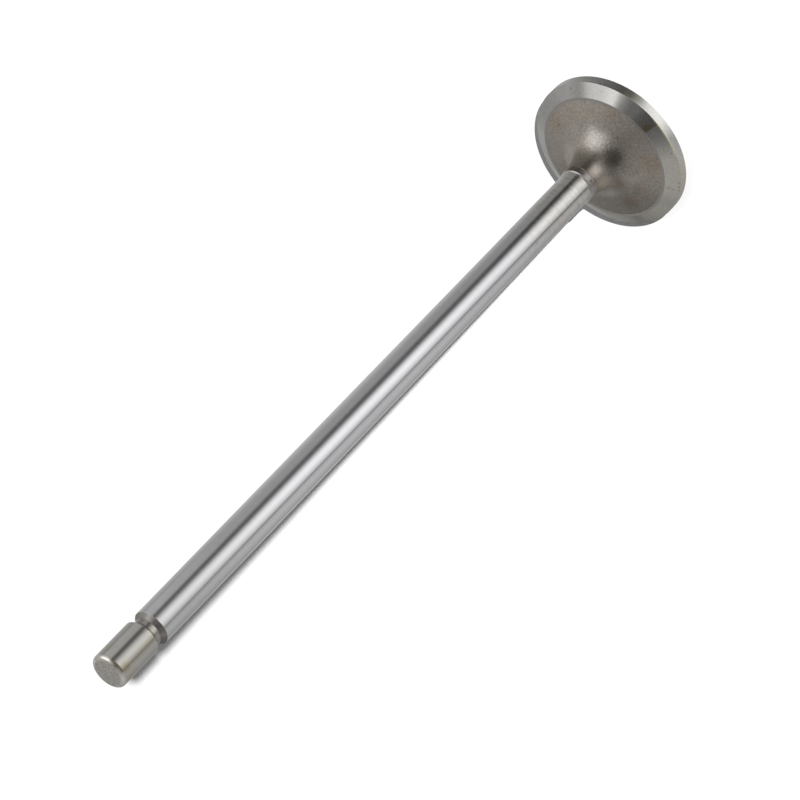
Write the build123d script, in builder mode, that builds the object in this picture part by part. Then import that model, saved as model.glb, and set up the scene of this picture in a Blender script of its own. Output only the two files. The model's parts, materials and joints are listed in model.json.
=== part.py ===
"""Poppet valve of a large four-valve diesel engine, forged and turned as one piece.

The valve stands on its head. The origin is the centre of the flat combustion face, +Z runs
along the stem to the tip, and every surface is turned about that axis. Lengths are millimetres.
"""

from build123d import *
from math import cos, radians, sin, tan
import os

# Overall sizes
overall_length = 218.0
stem_diameter = 9.45
head_diameter = 44.6

# Head: flat combustion face, cylindrical margin and the conical seat above it
face_edge_break = 0.3
margin_height = 3.1
seat_angle = 30.0
seat_face_width = 4.15

# Underside of the head: a narrow flat ledge inside the seat, then a low cone that one large
# fillet carries up into the neck
ledge_width = 0.7
underhead_angle = 18.0
underhead_fillet = 10.5

# Neck: left as turned, a little thicker than the ground stem. A fine line marks where the turned
# fillet ends, and above it the grinding wheel's rounded corner leaves a short concave run-out.
neck_length = 1.9
neck_line_radius = 0.15
neck_line_depth = 0.07
run_out_radius = 0.8
run_out_angle = 50.0

# Keeper groove near the tip, with sloped walls and a rounded bottom
tip_to_groove = 12.65
groove_width = 3.6
groove_depth = 1.05
groove_wall_angle = 45.0
groove_bottom_radius = 0.35
groove_edge_radius = 0.2

# Rounded edge of the flat tip
tip_edge_radius = 1.0

stem_radius = stem_diameter / 2
head_radius = head_diameter / 2

# The seat cone rises inwards from the top of the margin.
seat_inner_radius = head_radius - seat_face_width * cos(radians(seat_angle))
seat_top_height = margin_height + seat_face_width * sin(radians(seat_angle))

# The run-out is an arc in section, tangent to the ground stem. It swings out by its angle, and
# the neck is as thick as the arc reaches.
neck_radius = stem_radius + run_out_radius * (1 - cos(radians(run_out_angle)))

# The underhead cone would meet the neck at a sharp corner, which the fillet replaces.
cone_outer_radius = seat_inner_radius - ledge_width
neck_corner_height = seat_top_height + (cone_outer_radius - neck_radius) * tan(radians(underhead_angle))
fillet_top_height = neck_corner_height + underhead_fillet * tan(radians(90 - underhead_angle) / 2)
neck_top_height = fillet_top_height + neck_length
ground_stem_height = neck_top_height + run_out_radius * sin(radians(run_out_angle))

# The groove's walls reach the stem's surface at these two heights.
groove_top_height = overall_length - tip_to_groove
groove_low_height = groove_top_height - groove_width
groove_wall_run = 1 / tan(radians(groove_wall_angle))

with BuildPart() as valve:
    # Half section: down the ground stem's run-out and round the rest, by way of the stem, the tip,
    # the axis, the combustion face, the margin, the seat and the neck
    with BuildSketch(Plane.XZ) as half_section:
        with BuildLine():
            Polyline(
                (stem_radius, ground_stem_height),
                (stem_radius, overall_length),
                (0, overall_length),
                (0, 0),
                (head_radius, 0),
                (head_radius, margin_height),
                (seat_inner_radius, seat_top_height),
                (cone_outer_radius, seat_top_height),
                (neck_radius, neck_corner_height),
                (neck_radius, neck_top_height),
            )
            JernArc((stem_radius, ground_stem_height), (0, -1), run_out_radius, run_out_angle)
        make_face()
        neck_corner = half_section.vertices().sort_by_distance((neck_radius, neck_corner_height))[0]
        fillet(neck_corner, underhead_fillet)
    revolve(axis=Axis.Z)

    # Fine turned line round the neck where the fillet ends
    with BuildSketch(Plane.XZ) as neck_line_section:
        with Locations((neck_radius + neck_line_radius - neck_line_depth, fillet_top_height)):
            Circle(neck_line_radius)
    revolve(neck_line_section.sketch, axis=Axis.Z, mode=Mode.SUBTRACT)

    # Keeper groove, cut from one groove depth outside the stem so that both walls run right out
    with BuildSketch(Plane.XZ) as groove_section:
        with BuildLine():
            Polyline(
                (stem_radius + groove_depth, groove_low_height - groove_depth * groove_wall_run),
                (stem_radius - groove_depth, groove_low_height + groove_depth * groove_wall_run),
                (stem_radius - groove_depth, groove_top_height - groove_depth * groove_wall_run),
                (stem_radius + groove_depth, groove_top_height + groove_depth * groove_wall_run),
                close=True,
            )
        make_face()
        fillet(groove_section.vertices().group_by(Axis.X)[0], groove_bottom_radius)
    revolve(groove_section.sketch, axis=Axis.Z, mode=Mode.SUBTRACT)

    # Where the groove walls meet the stem the edges are softened, so that the keepers seat cleanly.
    groove_circles = valve.edges().filter_by(GeomType.CIRCLE).filter_by_position(
        Axis.Z, groove_low_height - groove_edge_radius, groove_top_height + groove_edge_radius
    )
    groove_mouth = groove_circles.filter_by(lambda edge: edge.radius > stem_radius - groove_depth / 4)
    fillet(groove_mouth, groove_edge_radius)

    # The tip's edge is rounded, so that a rocker or bridge can slide onto the flat.
    fillet(valve.faces().sort_by(Axis.Z)[-1].edges(), tip_edge_radius)

    # The outer edge of the combustion face is broken.
    chamfer(valve.faces().sort_by(Axis.Z)[0].edges(), face_edge_break)

valve.part.label = "valve"

os.makedirs("parts", exist_ok=True)
export_step(valve.part, "parts/valve.step")
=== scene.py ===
"""Looks of a turned poppet valve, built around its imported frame.

The valve stands on its head. The combustion face lies at z = 0, the stem runs up +Z to the tip,
and every surface is turned about that axis. Lengths are metres, apart from spots and marks, which
are given in millimetres. Azimuths are degrees counted from the camera's side (-Y) towards -X.
"""

import json
import math

import bpy
import numpy as np
from bpy.props import FloatProperty, FloatVectorProperty, IntProperty, PointerProperty
from mathutils import Matrix, Vector


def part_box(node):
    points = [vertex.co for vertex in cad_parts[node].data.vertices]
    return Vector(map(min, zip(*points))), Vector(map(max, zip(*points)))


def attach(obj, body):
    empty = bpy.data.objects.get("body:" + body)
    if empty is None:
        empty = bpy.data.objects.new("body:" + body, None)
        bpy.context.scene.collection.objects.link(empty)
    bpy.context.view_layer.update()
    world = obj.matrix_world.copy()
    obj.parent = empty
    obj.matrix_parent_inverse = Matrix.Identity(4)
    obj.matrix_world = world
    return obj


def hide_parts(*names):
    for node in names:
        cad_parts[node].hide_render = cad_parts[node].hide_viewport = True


bl_info = {
    "name": "Poppet valve",
    "version": (1, 0, 0),
    "blender": (4, 5, 0),
    "location": "View3D > Sidebar > Valve",
    "description": "Makes a turned engine valve and the studio that it stands in",
    "category": "Add Mesh",
}

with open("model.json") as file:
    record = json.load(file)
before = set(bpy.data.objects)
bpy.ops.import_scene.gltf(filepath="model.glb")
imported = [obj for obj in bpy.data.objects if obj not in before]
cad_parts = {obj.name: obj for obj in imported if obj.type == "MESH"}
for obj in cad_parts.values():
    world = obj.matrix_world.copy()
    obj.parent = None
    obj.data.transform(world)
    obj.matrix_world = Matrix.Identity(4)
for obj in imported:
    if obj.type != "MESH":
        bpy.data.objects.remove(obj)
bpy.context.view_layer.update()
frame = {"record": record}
_, valve_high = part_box("valve")
mounts = {mount["name"]: mount for mount in frame["record"]["mounts"]}

MILLIMETRE = 0.001

# Share of a spot's reach over which it has its full strength
SPOT_CORE = 0.35

# How far from the end of an arc a side gets its guard point, at most
FLAT_GUARD = 0.1 * MILLIMETRE

# Brightest level that a ramp of the tent gives
TENT_PEAK = 1.1

# How much brighter the dome gets towards +X
DOME_LEAN = 0.16

# The tent's levels were found by comparing the render with one photograph. They aren't measured light.
# The dome's levels, by the sine of the elevation
DOME_LEVELS = (
    (0.0, 0.22), (0.14, 0.3), (0.26, 0.28), (0.52, 0.35), (0.74, 0.4), (0.9, 0.36), (1.0, 0.25),
)

# Softboxes and dark cloths on the dome: azimuth, elevation, inner and outer reach in degrees, level
DOME_PATCHES = (
    (110.0, 44.0, 14.0, 32.0, 0.5),
    (139.0, 18.0, 5.0, 14.0, 0.38),
    (25.0, 47.0, 23.0, 36.0, 0.03),
    (6.0, 82.0, 7.0, 12.0, 0.1),
    (-74.0, 45.0, 23.3, 24.7, 1.32),
)

# Panels at floor level: azimuth in degrees, level
FLOOR_PANELS = (
    (-180, 0.68), (-162, 0.59), (-140, 0.53), (-112, 0.41), (-84, 0.305), (-56, 0.3), (-42, 0.13),
    (-31, 0.095), (-22, 0.2), (-12, 0.61), (0, 0.96), (14, 1.1), (30, 0.9), (48, 0.54), (51, 0.2),
    (55, 0.2), (58, 0.45), (80, 0.55), (108, 0.46), (134, 0.33), (158, 0.62), (180, 0.6),
)

# The same for the ring just outside the head, which only the margin mirrors
RIM_PANELS = (
    (-180, 0.4), (-95, 0.5), (-76, 0.42), (-58, 0.27), (-40, 0.17), (-25, 0.1), (-17, 0.14),
    (-10, 0.42), (-3, 0.95), (4, 1.1), (11, 1.1), (19, 0.72), (26, 0.42), (45, 0.48), (68, 0.38),
    (95, 0.27), (180, 0.4),
)

# Suns that light the floor: name, azimuth, elevation and angular size in degrees, strength
LAMPS = (
    ("beside_camera", -0.8, 28.65, 0.5, 5.9),
    ("side_front", -50.0, 52.0, 24.0, 0.2),
    ("side_middle", -95.0, 52.0, 24.0, 0.2),
    ("side_back", -140.0, 52.0, 24.0, 0.2),
)


def length(name, description, millimetres):
    """A length property whose default is given in millimetres."""
    return FloatProperty(
        name=name, description=description, default=millimetres * MILLIMETRE, unit="LENGTH", precision=5
    )


def angle(name, description, degrees):
    """An angle property whose default is given in degrees."""
    return FloatProperty(name=name, description=description, default=math.radians(degrees), subtype="ANGLE")


def share(name, description, default):
    """A property between 0 and 1."""
    return FloatProperty(name=name, description=description, default=default, min=0.0, max=1.0)


def colour(name, description, default):
    """A colour property."""
    return FloatVectorProperty(
        name=name, description=description, default=default, subtype="COLOR", min=0.0, max=1.0
    )


class ValveSizes(bpy.types.PropertyGroup):
    """Sizes of the turned valve, the same as the CAD part's."""

    overall_length: length("Length", "From the combustion face to the tip", valve_high.z / MILLIMETRE)
    head_radius: length("Head radius", "Radius of the margin", valve_high.x / MILLIMETRE)
    stem_radius: length("Stem radius", "Radius of the ground stem", mounts["ground_stem"]["dims"]["r_mm"])
    face_edge_break: length("Face edge break", "Chamfer round the combustion face", 0.3)
    margin_height: length("Margin height", "Height of the cylindrical rim", 3.1)
    seat_angle: angle("Seat angle", "Slope of the seat from the face's plane", 30.0)
    seat_face_width: length("Seat width", "Width of the seat along its slope", 4.15)
    ledge_width: length("Ledge width", "Flat ring inside the seat", 0.7)
    underhead_angle: angle("Underhead angle", "Slope of the cone under the head", 18.0)
    underhead_fillet: length("Underhead fillet", "Radius that carries the cone up into the neck", 10.5)
    neck_length: length("Neck length", "Rough-turned land between the fillet and the run-out", 1.9)
    neck_line_radius: length("Neck line radius", "Radius of the fine turned line at the fillet's end", 0.15)
    neck_line_depth: length("Neck line depth", "Depth of the fine turned line", 0.07)
    run_out_radius: length("Run-out radius", "Radius of the grinding wheel's corner", 0.8)
    run_out_angle: angle("Run-out angle", "How far the run-out's arc swings out to the neck", 50.0)
    tip_to_groove: length("Tip to groove", "From the tip to the keeper groove", 12.65)
    groove_width: length("Groove width", "Width of the keeper groove at the stem's surface", 3.6)
    groove_depth: length("Groove depth", "Depth of the keeper groove", 1.05)
    groove_wall_angle: angle("Groove wall angle", "Slope of the groove's walls", 45.0)
    groove_bottom_radius: length("Groove bottom radius", "Radius in the groove's corners", 0.35)
    groove_edge_radius: length("Groove edge radius", "Softened edge where the groove meets the stem", 0.2)
    tip_edge_radius: length("Tip edge radius", "Rounded edge of the flat tip", 1.0)
    edge_softening: length("Edge softening", "Radius left on the turned corners of the head", 0.06)
    segments: IntProperty(name="Segments", description="Faces in one turn", default=256, min=64, max=512)


class ValveFinish(bpy.types.PropertyGroup):
    """Colours and polish of the valve's surfaces."""

    stem_colour: colour("Ground stem", "Steel of the ground stem", (0.82, 0.82, 0.835))
    stem_head_colour: colour("Stem by the head", "Warmer steel of the lowest part", (0.80, 0.785, 0.745))
    stem_blotch_colour: colour("Stem blotches", "Red-brown blotches by the head", (0.79, 0.72, 0.68))
    stem_end_colour: colour("Stem end", "Ground stem beside the keeper groove", (0.70, 0.70, 0.70))
    tip_colour: colour("Tip", "Duller, warmer steel beyond the groove", (0.57, 0.555, 0.525))
    tip_streak_colour: colour("Tip streak", "Yellow-brown streak along the tip", (0.56, 0.52, 0.44))
    tip_patch_colour: colour("Tip patches", "Yellow-brown patches below the edge", (0.54, 0.5, 0.4))
    tip_stain_colour: colour("Tip stain", "Olive stain below the edge", (0.5, 0.43, 0.3))
    # The brown line along the tip's rounded edge is a painted dark reflection.
    tip_dark_reflection_colour: colour("Tip line", "Brown line where the rounded edge starts", (0.34, 0.27, 0.2))
    # The tip's rounded edge is brighter by a painted sheen.
    tip_edge_sheen_colour: colour("Tip edge sheen", "Rounded edge of the tip", (0.80, 0.77, 0.71))
    tip_face_colour: colour("Tip face", "Flat end of the tip", (0.68, 0.655, 0.61))
    tip_face_stain_colour: colour("Tip face stain", "Browner patches of the end", (0.68, 0.61, 0.53))
    groove_colour: colour("Groove", "Steel in the keeper groove", (0.47, 0.445, 0.415))
    # The bright side of the groove's floor is a painted highlight.
    groove_highlight_colour: colour("Groove, cream", "Bright side of the groove's floor", (0.6, 0.56, 0.49))
    neck_colour: colour("Neck", "Rough-turned steel below the ground stem", (0.52, 0.49, 0.47))
    neck_scale_colour: colour("Neck scale", "Dark scale on one side of the neck", (0.27, 0.23, 0.2))
    underhead_colour: colour("Underhead", "Matte steel under the head", (0.515, 0.47, 0.42))
    underhead_stain_colour: colour("Underhead stain", "Brown patches under the head", (0.49, 0.42, 0.345))
    underhead_dark_colour: colour("Underhead, dark", "Dark scale beside the neck", (0.3, 0.265, 0.225))
    # A greyer tint where the highlight under the head falls: the highlight's painted colour.
    underhead_highlight_grey_colour: colour("Underhead, highlight grey", "Greyer spot with less scale", (0.52, 0.49, 0.46))
    underhead_rust_colour: colour("Underhead rust", "Red-brown patch under the head", (0.53, 0.41, 0.34))
    ledge_colour: colour("Ledge", "Smooth ring inside the seat", (0.52, 0.50, 0.475))
    seat_colour: colour("Seat", "Satin steel of the seat", (0.60, 0.585, 0.56))
    seat_yellow_colour: colour("Seat, yellowed", "Yellowed side of the seat", (0.6, 0.575, 0.51))
    seat_corner_colour: colour("Seat corner", "Brown corner beside the worn stretch", (0.5, 0.38, 0.22))
    seat_edge_colour: colour("Seat edge", "Rubbed outer edge of the worn stretch", (0.6, 0.54, 0.27))
    margin_colour: colour("Margin", "Turned steel of the rim", (0.74, 0.73, 0.70))
    margin_yellow_colour: colour("Margin, yellowed", "Yellowed places of the rim", (0.74, 0.71, 0.6))
    face_colour: colour("Combustion face", "Turned steel of the flat face", (0.60, 0.59, 0.57))
    stem_roughness: share("Stem roughness", "Roughness of the ground stem", 0.2)
    seat_roughness: share("Seat roughness", "Roughness of the seat and the margin", 0.21)
    underhead_roughness: share("Underhead roughness", "Roughness of the matte underhead", 0.38)


class StudioSettings(bpy.types.PropertyGroup):
    """Camera and floor of the studio."""

    camera_aim: FloatVectorProperty(
        name="Camera aim",
        description="Point that the camera looks at",
        default=(-0.005187, 0.0, 0.107227),
        subtype="TRANSLATION",
        unit="LENGTH",
        precision=6,
    )
    camera_distance: length("Camera distance", "From the aim point to the camera", 803.03)
    camera_azimuth: angle("Camera azimuth", "Heading of the camera's axis from +Y towards -X", 0.452)
    camera_elevation: angle("Camera elevation", "Height of the camera above the floor's plane", 35.014)
    camera_roll: angle("Camera roll", "Turn of the picture about the camera's axis", 136.336)
    camera_lens: FloatProperty(name="Lens", description="Focal length in millimetres", default=146.61)
    camera_sensor: FloatProperty(name="Sensor", description="Sensor width in millimetres", default=36.0)
    floor_colour: colour("Floor", "Pale floor", (0.96, 0.96, 0.96))


class Value:
    """A socket of a shader node. An expression on values adds its Math nodes."""

    def __init__(self, shading, socket):
        self.shading = shading
        self.socket = socket

    def maths(self, operation, *values):
        """A Math node on these values."""
        return self.shading.add("Math", {"operation": operation}, dict(enumerate(values)))

    def __add__(self, other):
        return self.maths("ADD", self, other)

    def __sub__(self, other):
        return self.maths("SUBTRACT", self, other)

    def __rsub__(self, other):
        return self.maths("SUBTRACT", other, self)

    def __mul__(self, other):
        return self.maths("MULTIPLY", self, other)

    def __truediv__(self, other):
        return self.maths("DIVIDE", self, other)

    __radd__ = __add__
    __rmul__ = __mul__


def rgba(colour_in):
    """A colour property as four numbers. A colour that a node makes stays as it is."""
    return colour_in if isinstance(colour_in, Value) else (*colour_in, 1.0)


def set_stops(elements, stops):
    """Give a colour ramp these places and grey levels, in rising order."""
    while len(elements) < len(stops):
        elements.new(1.0)
    for element, (place, level) in zip(elements, stops):
        element.position = place
        element.color = (level, level, level, 1.0)


class Shading:
    """The node tree of one material or of the world."""

    def __init__(self, owner):
        owner.use_nodes = True
        self.tree = owner.node_tree
        self.tree.nodes.clear()

    def add(self, kind, settings=None, sockets=None, output=0):
        """Add a node of this kind, with its settings first and then its sockets' values or links.

        The setting stops gives a colour ramp's places and grey levels.
        """
        node = self.tree.nodes.new("ShaderNode" + kind)
        for name, value in (settings or {}).items():
            if name == "stops":
                set_stops(node.color_ramp.elements, value)
            else:
                setattr(node, name, value)
        for name, value in (sockets or {}).items():
            if isinstance(value, Value):
                self.tree.links.new(value.socket, node.inputs[name])
            else:
                node.inputs[name].default_value = value
        return Value(self, node.outputs[output]) if node.outputs else None

    def position(self, scale=(1.0, 1.0, 1.0)):
        """Object coordinates, stretched along each axis."""
        place = self.add("TexCoord", output="Object")
        return self.add("VectorMath", {"operation": "MULTIPLY"}, {0: place, 1: scale})

    def split(self, vector):
        """The x, y and z of a vector."""
        parts = self.add("SeparateXYZ", None, {0: vector})
        return parts, *(Value(self, parts.socket.node.outputs[axis]) for axis in (1, 2))

    def height(self):
        """Height above the combustion face."""
        return self.split(self.position())[2]

    def radius(self):
        """Distance from the valve's axis: the root of x squared plus y squared."""
        x, y, _ = self.split(self.position())
        squares = x * x + y * y
        return squares.maths("SQRT", squares)

    def azimuth(self):
        """Degrees about the axis from -Y towards -X."""
        x, y, _ = self.split(self.position())
        turn = x.maths("ARCTAN2", x * -1.0, y * -1.0)
        return turn * math.degrees(1.0)

    def step(self, value, start, end):
        """A smooth step from 0 to 1 while value goes from start to end."""
        return self.add(
            "MapRange",
            {"interpolation_type": "SMOOTHSTEP", "clamp": True},
            {0: value, 1: start, 2: end},
        )

    def within(self, value, start, end, soft):
        """1 while value lies between start and end, with smooth edges this wide inside them."""
        return self.step(value, start, start + soft) * self.step(value, end, end - soft)

    def spot(self, point, reach):
        """1 around a point, falling smoothly to 0 at this reach. Both are in millimetres."""
        middle = [number * MILLIMETRE for number in point]
        away = self.add("VectorMath", {"operation": "DISTANCE"}, {0: self.position(), 1: middle}, "Value")
        return self.step(away, reach * MILLIMETRE, SPOT_CORE * reach * MILLIMETRE)

    def marks_and_painted_light(self, tone, marks):
        """A tone changed by spots, each with a point, a reach in millimetres and a depth: marks, painted
        shade, and painted highlights where the depth is negative.
        """
        for point, reach, depth in marks:
            tone = tone * (1.0 - depth * self.spot(point, reach))
        return tone

    def noise(self, scale, detail=3.0, roughness=0.55):
        """Fractal noise on Object coordinates. scale gives the cells per metre along each axis."""
        return self.add(
            "TexNoise",
            {"noise_dimensions": "3D", "normalize": True},
            {"Vector": self.position(scale), "Scale": 1.0, "Detail": detail, "Roughness": roughness},
        )

    def rings(self, distance, per_metre, detail=2.0):
        """Noise in one dimension along a distance, which gives the lines that a turning tool leaves."""
        return self.add(
            "TexNoise",
            {"noise_dimensions": "1D", "normalize": True},
            {"W": distance * per_metre, "Scale": 1.0, "Detail": detail},
        )

    def mix(self, mask, first, second):
        """first where the mask is 0 and second where it is 1, as colours."""
        return self.add("Mix", {"data_type": "RGBA"}, {0: mask, 6: rgba(first), 7: rgba(second)}, output=2)

    def brighten(self, colour_in, factor):
        """A colour multiplied by a value."""
        return self.add("VectorMath", {"operation": "SCALE"}, {0: colour_in, 3: factor})

    def bump(self, height, distance):
        """A normal bent by a height between 0 and 1, at a depth in metres."""
        return self.add("Bump", None, {"Height": height, "Distance": distance, "Strength": 1.0})

    def metal(self, base, roughness, normal, anisotropic=0.0, metallic=1.0):
        """A metal surface. The quarter turn stretches its highlights across the turning marks."""
        surface = self.add("BsdfPrincipled", None, {
            "Base Color": base,
            "Metallic": metallic,
            "Roughness": roughness,
            "Anisotropic": anisotropic,
            "Anisotropic Rotation": 0.25,
            "Normal": normal,
        })
        self.add("OutputMaterial", None, {"Surface": surface})


def new_shading(name):
    """A new material and its empty node tree."""
    material = bpy.data.materials.new(name)
    return material, Shading(material)


# Several finishes change in tone with azimuth. Those tones were set against one photograph, so they
# hold some of its light as well as wear and scale. They are fixed to the valve.


def ground_stem_steel(finish):
    """Ground steel with fine marks round it, warmer and blotched by the head, duller by the groove."""
    material, s = new_shading("ground_stem_steel")
    height, turn = s.height(), s.azimuth()
    streaks = s.noise((110.0, 110.0, 2400.0))
    blotches = s.noise((420.0, 420.0, 900.0), 2.0)
    cloud = s.noise((45.0, 45.0, 45.0), 2.0)
    near_head = s.step(height, 0.058, 0.022)
    dull = s.step(height, 0.14, 0.205)
    tint = s.mix(near_head, finish.stem_colour, finish.stem_head_colour)
    tint = s.mix(near_head * s.step(blotches, 0.5, 0.72), tint, finish.stem_blotch_colour)
    tint = s.mix(dull, tint, finish.stem_end_colour)
    tone = 0.9 + 0.1 * s.step(height, 0.035, 0.115) + 0.08 * (streaks - 0.5) + 0.05 * (cloud - 0.5)
    tone = tone + (0.05 + 0.5 * near_head) * (blotches - 0.5)
    # By the head the stem is darker everywhere but in its bright band: painted shade.
    tone = tone * (1.0 - 0.08 * near_head * (1.0 - s.within(turn, -15.0, 27.0, 8.0)))
    tone = s.marks_and_painted_light(tone, [((-2.8, -3.8, 44.7), 0.8, 0.12)])
    run_out = s.step(height, 0.01975, 0.0195)
    worn = run_out * s.within(turn, -14.0, 66.0, 10.0)
    roughness = finish.stem_roughness - 0.03 + 0.06 * streaks + 0.04 * dull + 0.1 * run_out + 0.35 * worn
    dark_side = s.within(turn, -62.0, -9.0, 12.0) * (0.25 + 0.85 * near_head)
    height_marks = 0.024 * streaks + dark_side * blotches
    s.metal(s.brighten(tint, tone), roughness, s.bump(height_marks, 4.5e-5), 0.6)
    return material


def tip_steel(finish):
    """Duller steel beyond the groove: brown places, an olive stain and a rubbed edge, with a painted sheen
    and a painted dark reflection on that edge and painted light near the groove and towards -180 degrees.
    """
    material, s = new_shading("tip_steel")
    height, turn = s.height(), s.azimuth()
    streaks = s.noise((160.0, 160.0, 2000.0))
    cloud = s.noise((170.0, 170.0, 170.0), 2.0)
    brown = s.within(turn, 8.0, 44.0, 12.0) * (0.4 + cloud)
    near_tip = s.step(height, 0.212, 0.216) * s.step(cloud, 0.45, 0.7)
    edge = s.step(height, 0.21695, 0.2172)
    rubbed = edge * s.within(turn, 3.0, 130.0, 14.0)
    # A brown band along the rounded edge: a painted dark reflection.
    painted_dark_reflection = s.within(turn, -26.0, 34.0, 9.0) * s.within(height, 0.2168, 0.21768, 0.0003)
    soft_glint = edge * s.within(turn, -26.0, 34.0, 9.0)
    tint = s.mix(brown, finish.tip_colour, finish.tip_streak_colour)
    tint = s.mix(near_tip, tint, finish.tip_patch_colour)
    tint = s.mix(0.65 * s.spot((-2.0, -4.3, 216.0), 1.9), tint, finish.tip_stain_colour)
    # The rounded edge's brighter colour is a painted sheen.
    tint = s.mix(edge, tint, finish.tip_edge_sheen_colour)
    tint = s.mix(0.9 * painted_dark_reflection, tint, finish.tip_dark_reflection_colour)
    roughness = 0.22 + 0.04 * streaks + 0.2 * rubbed + 0.2 * soft_glint
    # Lighter just above the groove, on the edge beyond -100 degrees and all round beyond -150 degrees:
    # painted light.
    tone = 0.96 + 0.07 * streaks + 0.15 * s.step(height, 0.20565, 0.20538)
    tone = tone + 0.55 * edge * s.step(turn, -80.0, -102.0) + 0.2 * s.step(turn, -142.0, -160.0)
    s.metal(s.brighten(tint, tone), roughness, s.bump(streaks, 1e-6), 0.5, 1.0 - 0.07 * rubbed)
    return material


def tip_face_steel(finish):
    """Matte warm grey end face, lightly pitted by use."""
    material, s = new_shading("tip_face_steel")
    grain = s.noise((2300.0, 2300.0, 2300.0), 2.0)
    cloud = s.noise((420.0, 420.0, 420.0), 2.0)
    tint = s.mix(s.step(cloud, 0.46, 0.72), finish.tip_face_colour, finish.tip_face_stain_colour)
    s.metal(s.brighten(tint, 0.4 + 1.2 * grain), 0.42, s.bump(grain, 3e-5))
    return material


def groove_steel(finish):
    """Turned steel in the keeper groove, with a painted highlight near +15 degrees and its walls toned apart
    by painted light and shade.
    """
    material, s = new_shading("groove_steel")
    height, turn = s.height(), s.azimuth()
    lines = s.rings(height, 9000.0)
    head_wall = s.step(height, 0.2031, 0.2028)
    tip_wall = s.step(height, 0.2042, 0.2045)
    # A painted highlight on the floor near +15 degrees.
    painted_highlight = s.within(turn, -2.0, 30.0, 13.0) * (1.0 - head_wall)
    tint = s.mix(painted_highlight, finish.groove_colour, finish.groove_highlight_colour)
    # The head wall's darker tone and the tones by azimuth below are painted shade and light, and the lighter
    # tip wall is painted light.
    tone = (0.85 + 0.3 * lines) * (1.0 - 0.15 * head_wall)
    tone = tone * (1.0 - 0.28 * s.within(turn, -64.0, -30.0, 14.0))
    tone = tone * (1.0 + 0.6 * head_wall * s.within(turn, -8.0, 34.0, 12.0))
    tone = tone * (1.0 - 0.32 * head_wall * s.step(turn, 46.0, 64.0)) * (1.0 + 0.45 * tip_wall)
    s.metal(s.brighten(tint, tone), 0.3 + 0.16 * head_wall, s.bump(lines, 4e-6), 0.4)
    return material


def neck_steel(finish):
    """Rough-turned steel of the neck, scored round and along, with dark scale near -50 degrees and painted
    light beyond 55 degrees.
    """
    material, s = new_shading("neck_steel")
    height, turn = s.height(), s.azimuth()
    lines = s.rings(height, 7000.0)
    scores = s.noise((1500.0, 1500.0, 900.0), 4.0)
    scale = s.within(turn, -82.0, -16.0, 18.0)
    tint = s.mix(scale, finish.neck_colour, finish.neck_scale_colour)
    tone = (0.5 + 0.3 * lines + 0.75 * scores) * (1.0 - 0.3 * scale)
    # Lighter beyond 55 degrees: painted light.
    tone = tone * (1.0 + 0.2 * s.step(turn, 55.0, 75.0))
    tone = s.marks_and_painted_light(tone, [((-1.7, -4.7, 18.0), 0.7, 0.5), ((1.0, -4.9, 18.4), 0.6, 0.3)])
    s.metal(s.brighten(tint, tone), 0.34, s.bump(scores + lines, 1.4e-5), 0.3)
    return material


def underhead_steel(finish):
    """Matte scaled steel with a fine grain and faint patches, dark beside the neck. Its tones by azimuth,
    darker towards -X, and its broad spots are painted light and shade.
    """
    material, s = new_shading("underhead_steel")
    turn, radius = s.azimuth(), s.radius()
    grain = s.noise((1800.0, 1800.0, 1800.0), 2.0, 0.6)
    cloud = s.noise((130.0, 130.0, 130.0), 3.0)
    beside_neck = s.step(radius, 0.0076, 0.0056) * s.within(turn, -105.0, 4.0, 26.0)
    tint = s.mix(s.step(cloud, 0.46, 0.72), finish.underhead_colour, finish.underhead_stain_colour)
    tint = s.mix(beside_neck, tint, finish.underhead_dark_colour)
    # A greyer tint where the highlight falls: the highlight's painted colour.
    tint = s.mix(0.8 * s.spot((5.8, -8.4, 8.2), 5.5), tint, finish.underhead_highlight_grey_colour)
    tint = s.mix(0.6 * s.spot((-13.2, 3.1, 6.6), 3.2), tint, finish.underhead_rust_colour)
    # Darker towards -X, lighter from -135 to -25 degrees and darker beyond -138 degrees: painted shade and
    # light.
    tone = (0.485 + 0.97 * grain) * (1.0 - 0.2 * s.within(turn, 50.0, 190.0, 42.0))
    tone = tone * (1.0 + 0.08 * s.within(turn, -135.0, -25.0, 30.0))
    tone = tone * (1.0 - 0.14 * s.step(turn, -138.0, -160.0))
    # Spots that reach 1 mm or less are pits. The broad spots are painted shade, and the spot with a negative
    # depth is a painted highlight.
    tone = s.marks_and_painted_light(tone, [
        ((-13.7, 4.8, 6.4), 3.4, 0.14), ((-7.3, -6.8, 8.1), 3.2, 0.2), ((14.7, 1.8, 6.2), 0.7, 0.3),
        ((1.1, -11.9, 7.1), 0.6, 0.3), ((14.1, -11.3, 5.2), 1.0, 0.15), ((-1.3, -7.6, 9.9), 3.6, 0.18),
        ((8.8, -5.2, 8.0), 3.2, 0.16), ((1.6, -6.1, 11.9), 1.8, 0.18), ((-0.4, -5.3, 14.5), 1.7, -0.2),
    ])
    s.metal(s.brighten(tint, tone), finish.underhead_roughness, s.bump(grain, 6e-5))
    return material


def ledge_steel(finish):
    """Smooth narrow ring between the seat and the matte underhead."""
    material, s = new_shading("ledge_steel")
    lines = s.rings(s.radius(), 9000.0)
    s.metal(s.brighten(finish.ledge_colour, 0.92 + 0.16 * lines), 0.4, s.bump(lines, 2e-6), 0.3)
    return material


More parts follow.
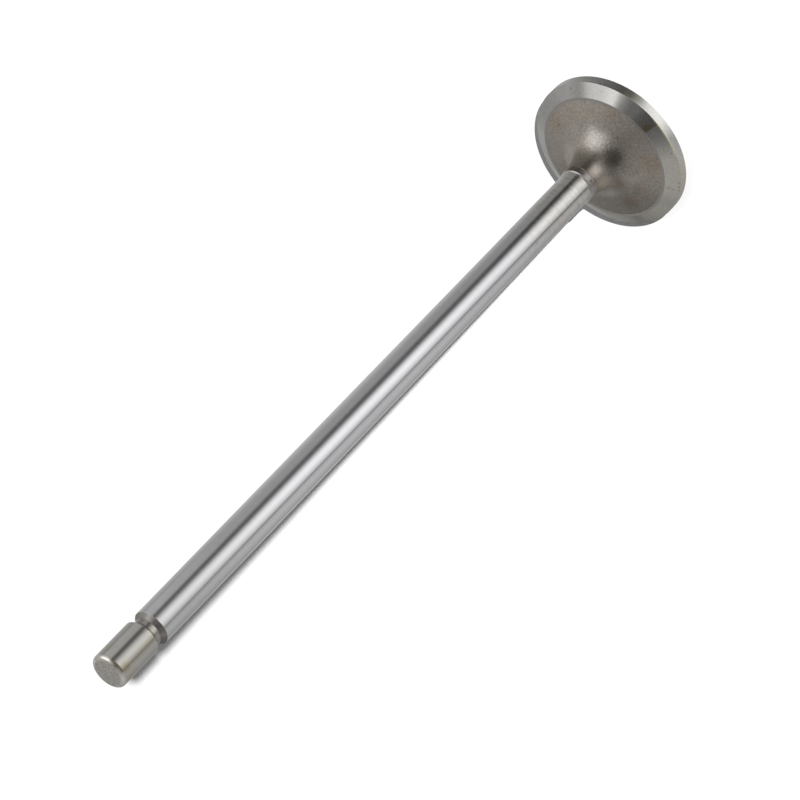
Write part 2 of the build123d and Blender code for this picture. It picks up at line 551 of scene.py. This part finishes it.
def seat_steel(finish):
    """Satin seat with fine turning marks, a bright worn stretch, a brown corner beside it and small dents.

    The rows of start, end, soft edge and change are broad tones round the seat. They were set
    against the photograph, and they are painted light and shade.
    """
    material, s = new_shading("seat_steel")
    turn, radius = s.azimuth(), s.radius()
    lines = s.rings(radius, 12000.0)
    grain = s.noise((1700.0, 1700.0, 1700.0), 2.0)
    cloud = s.noise((140.0, 140.0, 140.0), 2.0)
    yellowed = 0.8 * s.within(turn, 12.0, 190.0, 26.0)
    brown_corner = s.spot((-2.9, -19.6, 4.6), 1.9) * s.step(turn, 11.0, 9.5)
    rubbed_edge = s.step(radius, 0.02202, 0.02212) * s.within(turn, 1.0, 38.0, 8.0)
    tint = s.mix(yellowed, finish.seat_colour, finish.seat_yellow_colour)
    tint = s.mix(0.75 * brown_corner, tint, finish.seat_corner_colour)
    tint = s.mix(rubbed_edge, tint, finish.seat_edge_colour)
    tone = 0.685 + 0.07 * lines + 0.24 * cloud + 0.32 * grain
    tone = tone * (1.0 + 0.52 * s.step(turn, 9.5, 11.0) * s.step(turn, 33.0, 13.0))
    # Broad tones round the seat: painted light and shade.
    for start, end, soft, change in (
        (-69.0, -24.0, 14.0, -0.27), (-27.0, -4.0, 8.0, -0.41), (92.0, 118.0, 12.0, 0.26),
        (106.0, 157.0, 14.0, -0.51), (138.0, 190.0, 16.0, -0.16), (-168.0, -108.0, 14.0, -0.17),
    ):
        tone = tone * (1.0 + change * s.within(turn, start, end, soft))
    tone = s.marks_and_painted_light(tone, [
        ((18.9, -9.1, 3.8), 0.6, 0.25), ((17.5, -10.1, 4.3), 0.5, 0.15), ((-11.8, -17.9, 3.6), 0.5, 0.2),
        ((-17.7, -8.6, 4.6), 0.6, 0.25), ((-18.8, -8.6, 4.1), 0.6, 0.2), ((-18.9, -11.4, 3.2), 0.6, 0.22),
        ((-19.6, -10.3, 3.2), 0.6, 0.22), ((-20.2, -9.2, 3.2), 0.6, 0.22),
    ])
    surface_bump = s.bump(lines, 1e-6)
    s.metal(s.brighten(tint, tone), finish.seat_roughness, surface_bump, 0.2, 1.0 - 0.22 * rubbed_edge)
    return material


def margin_steel(finish):
    """Turned rim of the head, yellowed in two places, with two small nicks below the seat."""
    material, s = new_shading("margin_steel")
    height, turn = s.height(), s.azimuth()
    lines = s.rings(height, 12000.0)
    grain = s.noise((1600.0, 1600.0, 1600.0), 2.0)
    yellowed = s.within(turn, -30.0, -6.0, 8.0) + s.within(turn, 36.0, 80.0, 14.0)
    tint = s.mix(yellowed, finish.margin_colour, finish.margin_yellow_colour)
    tone = 0.79 + 0.1 * lines + 0.26 * grain
    tone = s.marks_and_painted_light(tone, [((14.1, -17.3, 2.9), 0.6, 0.35), ((13.1, -18.1, 2.8), 0.5, 0.3)])
    s.metal(s.brighten(tint, tone), finish.seat_roughness, s.bump(lines, 1.5e-6), 0.5)
    return material


def face_steel(finish):
    """Faced steel of the combustion face, with rings from the facing cut."""
    material, s = new_shading("face_steel")
    lines = s.rings(s.radius(), 2500.0, 3.0)
    s.metal(s.brighten(finish.face_colour, 0.88 + 0.2 * lines), 0.3, s.bump(lines, 5e-6), 0.6)
    return material


def rounded_line(corners):
    """A line of straight sides whose inner corners are arcs, as rows of radius and height.

    Each row of corners holds a place, an arc's radius and its number of points. An arc reaches
    radius * tan(half its turn) along both sides, and at a heading h it has moved by radius times
    (sin h - sin start, cos start - cos h) from the point where it touches the first side. A guard
    point on each side near an arc's end keeps that side flat in the shading.
    """
    places, radii = corners[:, :2], corners[:, 2]
    sides = np.diff(places, axis=0)
    lengths = np.linalg.norm(sides, axis=1)
    along = sides / lengths[:, None]
    heading = np.unwrap(np.arctan2(along[:, 1], along[:, 0]))
    turn = np.diff(heading)
    reach = np.r_[0.0, radii[1:-1] * np.abs(np.tan(turn / 2)), 0.0]
    guard = (lengths - reach[:-1] - reach[1:]) / 3
    guard = np.minimum(guard, FLAT_GUARD)[:, None]
    leaving = places[:-1] + along * (reach[:-1, None] + guard)
    arriving = places[1:] - along * (reach[1:, None] + guard)
    line = [places[:1]]
    for side, (bend, points) in enumerate(zip(turn, corners[1:-1, 3].astype(int)), start=1):
        swung = np.linspace(heading[side - 1], heading[side], points)
        moved = np.stack([np.sin(swung) - math.sin(swung[0]), math.cos(swung[0]) - np.cos(swung)], axis=1)
        touching = places[side] - along[side - 1] * reach[side]
        line += [leaving[side - 1], arriving[side - 1], touching + math.copysign(radii[side], bend) * moved]
    return np.vstack([*line, leaving[-1], places[-1:]])


def valve_outline(sizes):
    """The half section from the face's centre to the tip's centre, as radius, height and limits.

    Straight sides are joined by arcs at the corners. The fine line at the fillet's end is cut from
    them: where its circle lies inside the outline, the radius is the circle's. The limits are the
    heights where one finish ends and the next starts.
    """
    seat_inner = sizes.head_radius - sizes.seat_face_width * math.cos(sizes.seat_angle)
    seat_top = sizes.margin_height + sizes.seat_face_width * math.sin(sizes.seat_angle)
    cone_outer = seat_inner - sizes.ledge_width
    neck = sizes.stem_radius + sizes.run_out_radius * (1 - math.cos(sizes.run_out_angle))
    neck_corner = seat_top + (cone_outer - neck) * math.tan(sizes.underhead_angle)
    fillet_top = neck_corner + sizes.underhead_fillet * math.tan((math.pi / 2 - sizes.underhead_angle) / 2)
    neck_top = fillet_top + sizes.neck_length
    run_out_swing = math.sin(sizes.run_out_angle) - math.tan(sizes.run_out_angle / 2)
    run_out_corner = neck_top + sizes.run_out_radius * run_out_swing
    groove_top = sizes.overall_length - sizes.tip_to_groove
    groove_low = groove_top - sizes.groove_width
    wall_run = sizes.groove_depth / math.tan(sizes.groove_wall_angle)
    groove_radius = sizes.stem_radius - sizes.groove_depth

    # The corner between the neck and the run-out is crisper than the head's. The run-out's arc is a
    # little tighter than its named radius, which leaves room for that corner.
    soft = sizes.edge_softening
    crisp = 0.4 * soft
    run_out = 0.95 * sizes.run_out_radius
    outline = rounded_line(np.array([
        (0.0, 0.0, 0.0, 0),
        (sizes.head_radius - sizes.face_edge_break, 0.0, soft, 5),
        (sizes.head_radius, sizes.face_edge_break, soft, 5),
        (sizes.head_radius, sizes.margin_height, soft, 6),
        (seat_inner, seat_top, soft, 5),
        (cone_outer, seat_top, soft, 4),
        (neck, neck_corner, sizes.underhead_fillet, 73),
        (neck, neck_top, crisp, 5),
        (sizes.stem_radius, run_out_corner, run_out, 13),
        (sizes.stem_radius, groove_low, sizes.groove_edge_radius, 7),
        (groove_radius, groove_low + wall_run, sizes.groove_bottom_radius, 9),
        (groove_radius, groove_top - wall_run, sizes.groove_bottom_radius, 9),
        (sizes.stem_radius, groove_top, sizes.groove_edge_radius, 7),
        (sizes.stem_radius, sizes.overall_length, sizes.tip_edge_radius, 17),
        (0.0, sizes.overall_length, 0.0, 0),
    ]))

    # Points are added close together across the fine line, and every 5 mm where there are none
    # within a millimetre.
    travelled = np.r_[0.0, np.cumsum(np.linalg.norm(np.diff(outline, axis=0), axis=1))]
    line_half = math.sqrt(sizes.neck_line_depth * (2 * sizes.neck_line_radius - sizes.neck_line_depth))
    line_reach = fillet_top + np.array([-1.1, 1.1]) * line_half
    fine = np.linspace(*np.interp(line_reach, outline[:, 1], travelled), 25)
    even = np.arange(0.0, travelled[-1], 5 * MILLIMETRE)
    clear = np.abs(even[:, None] - travelled).min(axis=1) > MILLIMETRE
    stations = np.unique(np.r_[travelled, fine, even[clear]])
    radius = np.interp(stations, travelled, outline[:, 0])
    height = np.interp(stations, travelled, outline[:, 1])
    across = np.clip((height - fillet_top) / sizes.neck_line_radius, -1.0, 1.0)
    cut = neck - sizes.neck_line_depth + sizes.neck_line_radius * (1 - np.sqrt(1 - across**2))
    radius = np.where(np.abs(height - fillet_top) < 1.2 * line_half, np.minimum(radius, cut), radius)

    tiny = 1e-3 * MILLIMETRE
    limits = [
        tiny, sizes.margin_height, seat_top - tiny, seat_top + tiny, fillet_top - line_half,
        neck_top, groove_low, groove_top, sizes.overall_length - tiny,
    ]
    return radius, height, np.array(limits)


def turned_mesh(name, radius, height, segments):
    """The outline turned about Z, and for each face the number of its side of the outline.

    At an angle a, a point of the outline lies at (radius sin a, radius cos a, height). The first
    and last points lie on the axis, and each closes its end as one vertex.
    """
    around = np.linspace(0.0, 2 * math.pi, segments, endpoint=False)
    rings = len(radius) - 2
    grid = np.stack([
        np.outer(radius[1:-1], np.sin(around)),
        np.outer(radius[1:-1], np.cos(around)),
        np.outer(height[1:-1], np.ones(segments)),
    ], axis=-1).reshape(-1, 3)
    points = np.vstack([grid, [(0.0, 0.0, height[0])], [(0.0, 0.0, height[-1])]])
    lower = np.arange(rings * segments).reshape(rings, segments)
    beside = np.roll(lower, -1, axis=1)
    sides = np.stack([lower[:-1], lower[1:], beside[1:], beside[:-1]], axis=-1).reshape(-1, 4)
    bottom = np.stack([np.full(segments, len(points) - 2), lower[0], beside[0]], axis=-1)
    top = np.stack([np.full(segments, len(points) - 1), beside[-1], lower[-1]], axis=-1)
    mesh = bpy.data.meshes.new(name)
    mesh.from_pydata(points, [], [*sides.tolist(), *bottom.tolist(), *top.tolist()])
    band = np.r_[np.repeat(np.arange(1, rings), segments), np.zeros(segments), np.full(segments, rings)]
    mesh.shade_smooth()
    return mesh, band.astype(int)


def show(name, data):
    """A new object with this mesh, lamp or camera, in the scene's collection."""
    made = bpy.data.objects.new(name, data)
    bpy.context.scene.collection.objects.link(made)
    return made


class VALVE_OT_make_valve(bpy.types.Operator):
    """Turn the valve from its half section and give each surface its finish"""

    bl_idname = "valve.make_valve"
    bl_label = "Make the valve"

    def execute(self, context):
        sizes = context.scene.valve_sizes
        finish = context.scene.valve_finish
        radius, height, limits = valve_outline(sizes)
        mesh, band = turned_mesh("turned_valve", radius, height, sizes.segments)
        finishes = (
            face_steel, margin_steel, seat_steel, ledge_steel, underhead_steel, neck_steel,
            ground_stem_steel, groove_steel, tip_steel, tip_face_steel,
        )
        for make in finishes:
            mesh.materials.append(make(finish))
        middle = (height[1:] + height[:-1]) / 2
        zone = np.searchsorted(limits, middle)
        mesh.polygons.foreach_set("material_index", zone[band].astype(np.int32))
        mesh.update()
        if mesh.validate():
            raise RuntimeError("the valve's mesh had faults")
        piece = show("turned_valve", mesh)
        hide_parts("valve")
        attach(piece, "root")
        return {"FINISHED"}


def toward(azimuth, elevation):
    """The unit vector at this azimuth a and elevation e, in degrees: (-sin a cos e, -cos a cos e, sin e)."""
    level = math.cos(math.radians(elevation))
    return Vector((
        -math.sin(math.radians(azimuth)) * level,
        -math.cos(math.radians(azimuth)) * level,
        math.sin(math.radians(elevation)),
    ))


def tent_cloth():
    """Light of the tent: a dome with softboxes and dark cloths, and panels round the valve.

    The ground stem mirrors the floor-level panels at their azimuth. What the margin mirrors lies
    just beside it, and what the tip mirrors lies far out.
    """
    material, s = new_shading("tent_cloth")
    direction = s.add("VectorMath", {"operation": "NORMALIZE"}, {0: s.position()})
    x, _, rise = s.split(direction)
    turn, radius = s.azimuth(), s.radius()

    def levels(place, stops):
        """A level that changes evenly from stop to stop."""
        parts_of_peak = [(where, level / TENT_PEAK) for where, level in stops]
        return TENT_PEAK * s.add("ValToRGB", {"stops": parts_of_peak}, {0: place})

    def panels(stops):
        """Levels by the azimuth in degrees."""
        return levels(turn / 360.0 + 0.5, [(azimuth / 360 + 0.5, level) for azimuth, level in stops])

    def lobe(azimuth, elevation, inner, outer):
        """1 within the inner reach of a direction, falling smoothly to 0 at the outer one."""
        toward_middle = {0: direction, 1: toward(azimuth, elevation)}
        along = s.add("VectorMath", {"operation": "DOT_PRODUCT"}, toward_middle, "Value")
        return s.step(along, math.cos(math.radians(outer)), math.cos(math.radians(inner)))

    def toned(light, mask, level):
        """The light where the mask is 0 and the level where it is 1."""
        return light + mask * (level - light)

    dome = DOME_LEAN * x + levels(rise, DOME_LEVELS)
    for azimuth, elevation, inner, outer, level in DOME_PATCHES:
        dome = toned(dome, lobe(azimuth, elevation, inner, outer), level)

    floor = panels(FLOOR_PANELS)
    far = s.step(radius, 0.34, 0.38)
    beside = s.step(radius, 0.08, 0.05)
    close = s.step(radius, 0.1, 0.045)
    for mask, level in (
        (far * s.within(turn, -100.0, -36.0, 12.0), 0.68),
        (far * s.step(turn, 126.0, 146.0), 0.38),
        (beside * s.step(turn, 150.0, 165.0), 0.4),
        (beside * s.step(turn, -145.0, -160.0), 0.45),
        (close * s.within(turn, 47.5, 58.0, 3.5), 0.15),
        (close * s.within(turn, -52.0, -22.0, 8.0), 0.06),
        (s.step(radius, 0.0265, 0.0255), panels(RIM_PANELS)),
    ):
        floor = toned(floor, mask, level)

    light = toned(dome, s.step(rise, 0.07, 0.0), floor)
    glow = s.add("Emission", None, {"Color": (1.0, 1.0, 1.0, 1.0), "Strength": light})
    s.add("OutputMaterial", None, {"Surface": glow})
    material.cycles.emission_sampling = "NONE"
    return material


def tent_mesh(radius, turns, rises):
    """Half a sphere, whose outline is radius (cos e, sin e) at an elevation e, closed by a disc."""
    elevation = np.linspace(0.0, math.pi / 2, rises)
    out = np.r_[0.0, radius * np.cos(elevation)]
    out[-1] = 0.0
    up = np.r_[0.0, radius * np.sin(elevation)]
    return turned_mesh("light_tent", out, up, turns)[0]


class VALVE_OT_make_studio(bpy.types.Operator):
    """Make the pale floor, the light tent, the lamps, the world and the camera"""

    bl_idname = "valve.make_studio"
    bl_label = "Make the studio"

    floor_drop = 0.1 * MILLIMETRE
    floor_half = 30.0
    tent_radius = 0.8
    tent_turns = 96
    tent_rises = 32
    world_fill = 0.03

    def execute(self, context):
        studio = context.scene.valve_studio
        self.make_floor(studio)
        self.make_tent()
        self.make_lamps()
        self.make_world(context.scene)
        self.make_camera(context.scene, studio)
        context.scene.view_settings.view_transform = "Standard"
        return {"FINISHED"}

    def make_floor(self, studio):
        """A wide plane just under the combustion face."""
        half, drop = self.floor_half, self.floor_drop
        mesh = bpy.data.meshes.new("floor")
        corners = [(-half, -half, -drop), (half, -half, -drop), (half, half, -drop), (-half, half, -drop)]
        mesh.from_pydata(corners, [], [(0, 1, 2, 3)])
        material, s = new_shading("pale_floor")
        surface = s.add("BsdfDiffuse", None, {"Color": rgba(studio.floor_colour)})
        s.add("OutputMaterial", None, {"Surface": surface})
        mesh.materials.append(material)
        show("floor", mesh)

    def make_tent(self):
        """The tent lights only what mirrors it. Its disc lies between the floor and the valve."""
        mesh = tent_mesh(self.tent_radius, self.tent_turns, self.tent_rises)
        mesh.transform(Matrix.Translation((0.0, 0.0, -self.floor_drop / 2)))
        mesh.flip_normals()
        mesh.materials.append(tent_cloth())
        tent = show("light_tent", mesh)
        for rays in ("camera", "diffuse", "transmission", "volume_scatter", "shadow"):
            setattr(tent, "visible_" + rays, False)

    def make_lamps(self):
        """A narrow sun beside the camera and three soft ones from +X, which nothing mirrors."""
        for name, azimuth, elevation, size, strength in LAMPS:
            lamp = bpy.data.lights.new(name, "SUN")
            lamp.energy = strength
            lamp.angle = math.radians(size)
            made = show(name, lamp)
            made.rotation_euler = toward(azimuth, elevation).to_track_quat("Z", "Y").to_euler()
            made.visible_glossy = False

    def make_world(self, scene):
        """Soft fill for the floor, seen as white by the camera and by what mirrors or lets light through."""
        scene.world = bpy.data.worlds.new("studio_world")
        s = Shading(scene.world)
        camera = s.add("LightPath", output="Is Camera Ray")
        rays = camera.socket.node.outputs
        seen = camera + Value(s, rays["Is Glossy Ray"]) + Value(s, rays["Is Transmission Ray"])
        strength = self.world_fill + (1.0 - self.world_fill) * seen
        back = s.add("Background", None, {"Color": (1.0, 1.0, 1.0, 1.0), "Strength": strength})
        s.add("OutputWorld", None, {"Surface": back})

    def make_camera(self, scene, studio):
        """The camera stands at the aim point less its heading times its distance."""
        level = math.cos(studio.camera_elevation)
        heading = Vector((
            -math.sin(studio.camera_azimuth) * level,
            math.cos(studio.camera_azimuth) * level,
            -math.sin(studio.camera_elevation),
        ))
        side = heading.cross(Vector((0.0, 0.0, 1.0))).normalized()
        upright = side.cross(heading)
        up = math.cos(studio.camera_roll) * upright + math.sin(studio.camera_roll) * side
        right = heading.cross(up)
        lens = bpy.data.cameras.new("photo_camera")
        lens.lens = studio.camera_lens
        lens.sensor_width = studio.camera_sensor
        lens.clip_start = 0.01
        lens.clip_end = 100.0
        camera = show("photo_camera", lens)
        place = Matrix((right, up, -heading)).transposed().to_4x4()
        place.translation = studio.camera_aim - heading * studio.camera_distance
        camera.matrix_world = place
        scene.camera = camera


class VALVE_PT_panel(bpy.types.Panel):
    """Sizes, finishes and studio of the valve"""

    bl_idname = "VALVE_PT_panel"
    bl_label = "Poppet valve"
    bl_space_type = "VIEW_3D"
    bl_region_type = "UI"
    bl_category = "Valve"

    def draw(self, context):
        for maker in (VALVE_OT_make_valve, VALVE_OT_make_studio):
            self.layout.operator(maker.bl_idname)
        for group in (context.scene.valve_sizes, context.scene.valve_finish, context.scene.valve_studio):
            box = self.layout.box()
            for name in group.__annotations__:
                box.prop(group, name)


classes = (
    ValveSizes, ValveFinish, StudioSettings, VALVE_OT_make_valve, VALVE_OT_make_studio, VALVE_PT_panel,
)


def register():
    """Add the classes and the scene's settings."""
    for each in classes:
        bpy.utils.register_class(each)
    bpy.types.Scene.valve_sizes = PointerProperty(type=ValveSizes)
    bpy.types.Scene.valve_finish = PointerProperty(type=ValveFinish)
    bpy.types.Scene.valve_studio = PointerProperty(type=StudioSettings)


def unregister():
    """Remove the scene's settings and the classes."""
    del bpy.types.Scene.valve_studio
    del bpy.types.Scene.valve_finish
    del bpy.types.Scene.valve_sizes
    for each in reversed(classes):
        bpy.utils.unregister_class(each)


def main():
    """Register the add-on and make the studio and the valve."""
    register()
    bpy.ops.valve.make_studio()
    bpy.ops.valve.make_valve()


if __name__ == "__main__":
    main()
